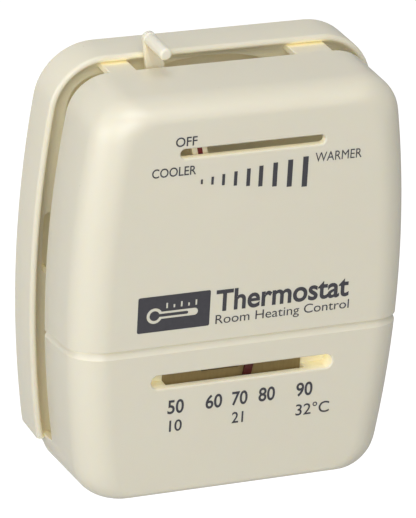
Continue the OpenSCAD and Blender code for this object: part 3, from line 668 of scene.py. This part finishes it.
lead_routes = {"lead_red": [(-19.8, 10, -48), (-30, 10, -38.5), (-33.2, 15, -33.5), (-33.2, 15, -24.1)],
               "lead_white": [(19.8, 10, -48), (26, 10, -38.5), (26, 8, -31.5), (26, 8, -17)]}
# each lead's own colour, then the painted shade tone it takes in its hollows
lead_tones = {"lead_red": ((0.36, 0.014, 0.012), (0.22, 0.008, 0.008)),
              "lead_white": ((0.74, 0.72, 0.66), (0.55, 0.5, 0.4))}
lead_r = 0.8
for node, route in lead_routes.items():
    sleeve = plastic(node, *lead_tones[node], rough=0.34, grain=0.004, shadow_reach=2, patch=0.12)
    finish_piece(strand(node + "_insulated", eased(route), lead_r, 14), node, "base", sleeve, 50)


# ---- Cover -------------------------------------------------------------------------------------
# A shell of cream ABS, moulded in one piece, that clips over the base. Its front edge is rolled all round,
# a groove crosses it, and it has a window for the setting and one for the thermometer, with a pocket
# behind. Two tabs on its top edge reach back over the base.
cover_hw, cover_top, cover_foot, cover_bow = 45.9, 56.5, -57.0, 295.0
front_d, wall, roll_side, roll_top, roll_foot = 41.4, 2.0, 9.0, 5.0, 3.0
cover_splits = [0.006, 0.012, 0.016, 0.02, 0.024, 0.028, 0.034, 0.05] + [i / 24 for i in range(2, 24)]


def cover_ring(side, top, foot, skin, depth, turn=0.0):
    """The cover's outline, drawn in by the given amounts, at one depth or one that follows the height."""
    pull = skin + 3 * (1 - math.cos(turn))
    edge = bowed_outline(cover_hw - side - skin, cover_top - top - skin, cover_foot + foot + skin,
                         11.5 - pull, 10 - pull, cover_bow, cover_splits)
    return [(x, depth(z) if callable(depth) else depth, z) for x, z in edge]


def rear_edge(extra):
    """The rear edge stands 16.7 mm out from the wall, and reaches further back at the foot."""
    def depth(z):
        t = min(max((z + 47.3) / 1.6, 0), 1)
        return 8.3 + 8.4 * t * t * (3 - 2 * t) + extra
    return depth


def rolled(turn, skin):
    c = 1 - math.cos(turn)
    return cover_ring(roll_side * c, roll_top * c + 0.2, roll_foot * c + 2.5, skin,
                      front_d - skin - roll_side * (1 - math.sin(turn)), turn)


inner = [rolled(math.radians(a), wall) for a in range(90, -1, -15)]
lip_profile = [(2, 0.5), (1.85, 0.12), (1.6, 0), (0.4, 0), (0.12, 0.12), (0, 0.5)]
lip = [cover_ring(0, 0, 0, skin, rear_edge(extra)) for skin, extra in lip_profile]
outer = [rolled(math.radians(a), 0) for a in (x * 7.5 for x in range(13))]
flat = [cover_ring(roll_side + 0.4, roll_top + 0.6, roll_foot + 2.9, 0, front_d, math.pi / 2)]
front_cover = loft("front_cover_shell", inner + lip + outer + flat)

temp_z, arbor_z, rivet_x = -20.2, -37.7, 13
pocket_z0, pocket_z1 = -23.6, -16.8
for x0, x1 in ((-30.8, -23.5), (20.5, 30.8)):
    carve(front_cover, box_piece("tab", x0, x1, cover_top - 1.8, cover_top, 8.4, 17.4, 0.25), "UNION")
end_spans = [(-26.9, -20.4), (18.4, 26.9)]
ends = [box_piece("end", x0, x1, pocket_z0, pocket_z1, 35.19, 39.6) for x0, x1 in end_spans]
carve(front_cover, gather("pocket_ends", ends), "UNION")
post_profile = [(29.4, 2.1), (29.6, 2.2), (38, 2.2), (39.5, 3.0)]
cover_posts = [turned("post", s * rivet_x, arbor_z, post_profile, 32) for s in (-1, 1)]
carve(front_cover, gather("posts", cover_posts), "UNION")


def window(z, x, length, height, from_d):
    """A cutter for a window whose front edge is rounded over."""
    profile = [(from_d, 0), (front_d - 0.5, 0), (front_d - 0.28, 0.06), (front_d - 0.1, 0.2),
               (front_d, 0.42), (front_d + 1, 0.42)]
    return loft("window", [[(px, d, pz) for px, pz in stadium(x, z, length, height, g)] for d, g in profile])


carve(front_cover, window(set_z, -0.6, 39.5, 2.5, 38))
carve(front_cover, window(temp_z, 0.1, 50.4, 3.8, 36.6))
for s in (-1, 1):
    carve(front_cover, turned("rivet_bore", s * rivet_x, arbor_z, [(28, 1), (35.4, 1)], 24))

# the groove: a steep upper wall and a long lower one, carried round the rolled edges and down the sides
groove_z, groove_fall = -9.9, math.tan(math.radians(8))
side_x = cover_hw - 0.2
right_half = [(side_x, d, 1.0, 0.0) for d in (6, 14, 22, 28)]
for c, s in ((math.cos(math.radians(k * 6)), math.sin(math.radians(k * 6))) for k in range(16)):
    right_half.append((side_x - roll_side * (1 - c), front_d - roll_side * (1 - s), c, s))
run = right_half + [(-x, d, -nx, nd) for x, d, nx, nd in reversed(right_half)]
groove_shape = [(0.6, 0.15), (-0.85, -0.3), (-0.8, -0.65), (0.0, -2.3), (0.6, -3.5)]
rings = []
for x, d, nx, nd in run:
    z = groove_z - groove_fall * (front_d - d)
    rings.append([(x + o * nx, d + o * nd, z + up) for o, up in groove_shape])
carve(front_cover, loft("groove", rings))
turn_out(front_cover, 1e-6)
shade(front_cover, cream_abs)
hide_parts("front_cover")
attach(front_cover, "cover")


# ---- Shade strip (painted shade) ---------------------------------------------------------------
# A brown strip stands behind the thermometer window, between the ends of its pocket. Its colour is painted
# shade for the dim inside of the cover and makes a dark ground for the red pointer; a narrow sight slit is
# cut in it.
painted_shade_brown = phenolic_board("painted_shade_brown", (0.215, 0.155, 0.062), (0.31, 0.235, 0.10))
shade_strip = box_piece("window_backing", -20.38, 18.38, -25.6, pocket_z1, 35.2, 36.6, 0.15)
carve(shade_strip, box_piece("sight_slit", -9.5, 0.8, -20.9, -19.6, 35, 37))
shade(shade_strip, painted_shade_brown, 30)
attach(shade_strip, "cover")


# ---- Thermometer -------------------------------------------------------------------------------
# A stamped aluminium bracket riveted to two posts of the cover holds a brass arbor. A bimetal coil winds
# from the bracket's lug to the sleeve of the red pointer, which turns on the arbor behind the window.
aluminium = metal("aluminium", (0.72, 0.73, 0.74), (0.58, 0.58, 0.58), rough=0.32)
dress("arbor_bracket", aluminium)
for node in ("thermometer_arbor", "arbor_cap"):
    dress(node, brass)
rivet = turned("rivet", 0, 0, [(27.52, 0.7), (27.62, 1.2), (27.85, 1.65), (28.15, 1.9), (28.4, 1.98),
                               (28.4, 1.0), (35.2, 1.0), (35.4, 0.85)], 32)
rivet_places = [(-rivet_x, 0, arbor_z), (rivet_x, 0, arbor_z)]
rivets = set_out("bracket_rivets_set", rivet, rivet_places, aluminium, seed=5)
finish_piece(rivets, "bracket_rivets", "cover", aluminium)

temp_coil = coiled_strip("thermometer_coil_wound", arbor_z, 2.35, 8, 4, 0.3, 30.4, 34.4, 44)
shade(temp_coil, bimetal, 35)
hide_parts("thermometer_coil")
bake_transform(temp_coil)

reading = math.radians(11)
sleeve = [(30.4, 2.1), (30.5, 2.2), (37.2, 2.2), (37.3, 3.2), (37.8, 3.2), (37.9, 3.1)]
pointer = turned("pointer_turned", 0, 0, sleeve, 48)
blade = [(-0.7, -6), (-0.5, -6.2), (0.5, -6.2), (0.7, -6), (1.1, -3), (1.1, 24.3), (0.8, 24.6),
         (-0.8, 24.6), (-1.1, 24.3), (-1.1, -3)]
carve(pointer, prism("blade", blade, 37.3, 37.9), "UNION")
carve(pointer, turned("arbor_bore", 0, 0, [(29, 1.25), (39, 1.25)], 32))
turn_out(pointer, 1e-6)
pointer.data.transform(Matrix.Translation((0, 0, arbor_z * mm)) @ Matrix.Rotation(reading, 4, "Y"))
# the second colour is its painted shade tone in hollows
pointer_red = plastic("pointer_red", (0.085, 0.006, 0.007), (0.05, 0.003, 0.003), rough=0.45,
                      grain=0.003, patch=0.1)
finish_piece(pointer, "thermometer_pointer", "pointer", pointer_red)


# ---- Printing ----------------------------------------------------------------------------------
# Dark slate ink, pad-printed flat on the cover's front face: words and a row of growing bars for the
# setting, dial figures for the thermometer, and a plain plate with a thermometer sign beside plain words.
def printing_ink(name, dark, light):
    """A dull ink film, a little uneven in how thickly it lies."""
    material = bpy.data.materials.new(name)
    material.use_nodes = True
    tree = material.node_tree
    skin = tree.nodes["Principled BSDF"]
    life = tree.nodes.new("ShaderNodeGroup")
    life.node_tree = moulding
    life.inputs["Patch Scale"].default_value = 900
    link(tree, mix_colour(tree, life.outputs["Patches"], dark, light), skin.inputs["Base Color"])
    dull = tree.nodes.new("ShaderNodeMapRange")
    dull.inputs["To Min"].default_value, dull.inputs["To Max"].default_value = 0.40, 0.55
    link(tree, life.outputs["Grain"], dull.inputs["Value"])
    link(tree, dull.outputs[0], skin.inputs["Roughness"])
    return material


ink = printing_ink("slate_ink", (0.028, 0.027, 0.032), (0.042, 0.040, 0.047))
film = 0.03


def lettering(text, x0, x1, z0, z1, weight=0.0):
    """A word made flat mesh, fitted between two sides and two heights of the front face, in mm."""
    curve = bpy.data.curves.new("word", "FONT")
    curve.body, curve.size, curve.offset, curve.resolution_u = text, 1.0, weight, 6
    curve.extrude = 0.01
    holder = bpy.data.objects.new("word", curve)
    bpy.context.scene.collection.objects.link(holder)
    bpy.context.view_layer.update()
    mesh = bpy.data.meshes.new_from_object(holder.evaluated_get(bpy.context.evaluated_depsgraph_get()))
    bpy.data.objects.remove(holder)
    lo = [min(v.co[i] for v in mesh.vertices) for i in (0, 1)]
    hi = [max(v.co[i] for v in mesh.vertices) for i in (0, 1)]
    for v in mesh.vertices:
        px = x0 + (x1 - x0) * (v.co.x - lo[0]) / (hi[0] - lo[0])
        pz = z0 + (z1 - z0) * (v.co.y - lo[1]) / (hi[1] - lo[1])
        v.co = (px * mm, -(front_d + (film if v.co.z > 0 else 0.001)) * mm, pz * mm)
    word = bpy.data.objects.new("word", mesh)
    bpy.context.scene.collection.objects.link(word)
    turn_out(word, 1e-7)
    return word


def figure(text, x, width, z0, z1, weight):
    """A dial figure, centred on its place along the scale."""
    return lettering(text, x - width / 2, x + width / 2, z0, z1, weight)


# the words as they stand from left to right and from foot to head, with the weight of their strokes
words = [lettering("OFF", -21.9, -16.1, 44.85, 47.4, 0.01),
         lettering("COOLER", -27.9, -16.0, 36.95, 39.45, 0.01),
         lettering("WARMER", 16.6, 29.5, 36.7, 39.25),
         lettering("Thermostat", -8.5, 28.6, -2.1, 4.0, 0.022),
         lettering("Room Heating Control", -8.4, 28.9, -6.3, -2.95),
         figure("50", -18.1, 4.5, -29.6, -25.6, 0.018),
         figure("60", -7.5, 4.6, -29.5, -25.5, 0.018),
         figure("70", -0.3, 4.4, -29.5, -25.5, 0.018),
         figure("80", 7.3, 4.6, -29.4, -25.4, 0.018),
         figure("90", 17.9, 4.6, -29.4, -25.4, 0.018),
         figure("10", -17.9, 3.5, -34.7, -31.4, 0.012),
         figure("21", -0.6, 3.2, -34.6, -31.4, 0.012),
         lettering("32°C", 15.8, 25.3, -34.9, -31.5, 0.006)]


def growing_bars(name, places, narrow, wide, short, tall, material):
    """Stands a bar at each place along the front face, each wider and taller than the last."""
    tree = bpy.data.node_groups.new(name, "GeometryNodeTree")
    name_inputs(tree, Narrow="Float", Wide="Float", Short="Float", Tall="Float", Last="Float", Film="Float")
    add = tree.nodes.new
    gin, gout, order = add("NodeGroupInput"), add("NodeGroupOutput"), add("GeometryNodeInputIndex")
    unit, size = add("GeometryNodeMeshCube"), add("ShaderNodeCombineXYZ")
    copies = add("GeometryNodeInstanceOnPoints")
    unit.inputs["Size"].default_value = (1, 1, 1)
    for low, high, axis in (("Narrow", "Wide", "X"), ("Short", "Tall", "Z")):
        grow = add("ShaderNodeMapRange")
        link(tree, order.outputs[0], grow.inputs["Value"])
        link(tree, gin.outputs["Last"], grow.inputs["From Max"])
        link(tree, gin.outputs[low], grow.inputs["To Min"])
        link(tree, gin.outputs[high], grow.inputs["To Max"])
        link(tree, grow.outputs[0], size.inputs[axis])
    link(tree, gin.outputs["Film"], size.inputs["Y"])
    link(tree, gin.outputs["Geometry"], copies.inputs["Points"])
    link(tree, unit.outputs["Mesh"], copies.inputs["Instance"])
    link(tree, size.outputs[0], copies.inputs["Scale"])
    make_real(tree, copies, gout, material)
    return grow_from(name, [(x, front_d + film / 2, z) for x, z in places], tree, Narrow=narrow * mm,
                     Wide=wide * mm, Short=short * mm, Tall=tall * mm, Film=(film - 0.002) * mm,
                     Last=float(len(places) - 1))


bar_places = [(-14.3, 34.7), (-11.4, 34.7), (-8.4, 34.65), (-5.1, 34.6), (-1.6, 34.55), (1.8, 34.5),
              (5.7, 34.5), (9.8, 34.4), (14.0, 34.4)]
bars = growing_bars("setting_bars", bar_places, 0.55, 1.5, 1.3, 8.3, ink)


def rounded(x0, x1, z0, z1, r):
    """A rectangle's outline with rounded corners."""
    corners = ((x1 - r, z0 + r, 270), (x1 - r, z1 - r, 0), (x0 + r, z1 - r, 90), (x0 + r, z0 + r, 180))
    return [(cx + r * math.cos(math.radians(a + k * 15)), cz + r * math.sin(math.radians(a + k * 15)))
            for cx, cz, a in corners for k in range(7)]


def printed(outline, out=0.0):
    """A flat film of ink on the front face, or a cutter for one where out is more than nothing."""
    return prism("ink", outline, front_d + 0.001 - out, front_d + film + out)


plate = printed(rounded(-29.9, -10.1, -5.6, 4.35, 0.5))

# the thermometer sign: a bulb and a tube left clear in the plate, five graduations, and a filled column
bulb_x, tube_z = -25.3, -1.1
bulb = turned("bulb", bulb_x, tube_z, [(front_d - 0.05, 2.15), (front_d + 0.1, 2.15)], 40)
carve(bulb, printed(stadium(-19.6, tube_z, 12.4, 2.0), 0.055), "UNION")
carve(plate, bulb)
for k in range(5):
    left, head_z = -22.2 + 2 * k, 2.2 - 0.6 * (k % 2)
    tick = [(left, 0.7), (left + 0.45, 0.7), (left + 0.45, head_z), (left, head_z)]
    carve(plate, printed(tick, 0.02))
mercury = turned("mercury", bulb_x, tube_z, [(front_d + 0.001, 1.35), (front_d + film, 1.35)], 40)
column = printed(stadium(-20.8, tube_z, 9.4, 0.8), 0.004)
carve(mercury, column, "UNION")
printing = gather("printing", words + [bars, plate, mercury])
turn_out(printing)
shade(printing, ink, 40)
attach(printing, "cover")


# ---- Floor, light and camera -------------------------------------------------------------------
# A plain pale floor lies well below the thermostat, in a bright, even room, and is lifted to white where
# the camera sees it. Soft lamps stand above the thermostat, at its left and in front of it.
ground = bpy.data.meshes.new("floor")
floor_z, floor_half = -0.19, 4
floor_corners = [(x * floor_half, y * floor_half, floor_z) for x, y in ((-1, -1), (1, -1), (1, 1), (-1, 1))]
ground.from_pydata(floor_corners, [], [(0, 1, 2, 3)])
floor = bpy.data.objects.new("floor", ground)
bpy.context.scene.collection.objects.link(floor)
paint = bpy.data.materials.new("floor_paint")
paint.use_nodes = True
floor_skin = paint.node_tree.nodes["Principled BSDF"]
floor_skin.inputs["Base Color"].default_value = (0.55, 0.55, 0.55, 1)
floor_skin.inputs["Roughness"].default_value = 0.9
floor_skin.inputs["Emission Color"].default_value = (1, 1, 1, 1)
seen, lift = paint.node_tree.nodes.new("ShaderNodeLightPath"), paint.node_tree.nodes.new("ShaderNodeMath")
lift.operation, lift.inputs[1].default_value = "MULTIPLY", 0.65
link(paint.node_tree, seen.outputs["Is Camera Ray"], lift.inputs[0])
link(paint.node_tree, lift.outputs[0], floor_skin.inputs["Emission Strength"])
floor.data.materials.append(paint)

world = bpy.data.worlds.new("room")
world.use_nodes = True
world.node_tree.nodes["Background"].inputs["Color"].default_value = (1, 1, 1, 1)
world.node_tree.nodes["Background"].inputs["Strength"].default_value = 0.50
bpy.context.scene.world = world
bpy.context.scene.view_settings.view_transform = "Standard"


def lamp(name, place, size, watts, aim=(0, -0.02, 0)):
    """A square soft lamp that shines at the middle of the thermostat."""
    light = bpy.data.lights.new(name, "AREA")
    light.size, light.energy = size, watts
    holder = bpy.data.objects.new(name, light)
    holder.location = place
    holder.rotation_euler = (Vector(aim) - Vector(place)).to_track_quat("-Z", "Y").to_euler()
    bpy.context.scene.collection.objects.link(holder)


lamp("overhead", (-0.15, -0.45, 1.1), 0.8, 6.2)
lamp("left", (-1.3, -0.3, 0.2), 1.1, 9.4)
lamp("front", (-0.46, -1.02, 0.5), 0.8, 7.0)

# the camera looks from the left and from above, and leans a little
turn, tilt, roll = math.radians(23.405), math.radians(23.943), math.radians(3.252)
ahead = Vector((math.sin(turn) * math.cos(tilt), math.cos(turn) * math.cos(tilt), -math.sin(tilt)))
across = Vector((math.cos(turn), -math.sin(turn), 0))
up = Vector((math.sin(tilt) * math.sin(turn), math.sin(tilt) * math.cos(turn), math.cos(tilt)))
right = across * math.cos(roll) + up * math.sin(roll)
upward = up * math.cos(roll) - across * math.sin(roll)
aim_at, distance = Vector((6.492, 0, -6.912)) * mm, 1.10645
camera = bpy.data.cameras.new("camera")
camera.sensor_width, camera.lens = 36, 289.90981
camera.clip_start, camera.clip_end = 0.05, 30
viewer = bpy.data.objects.new("camera", camera)
viewer.matrix_world = Matrix((right, upward, -ahead)).transposed().to_4x4()
viewer.location = aim_at - ahead * distance
bpy.context.scene.collection.objects.link(viewer)
bpy.context.scene.camera = viewer
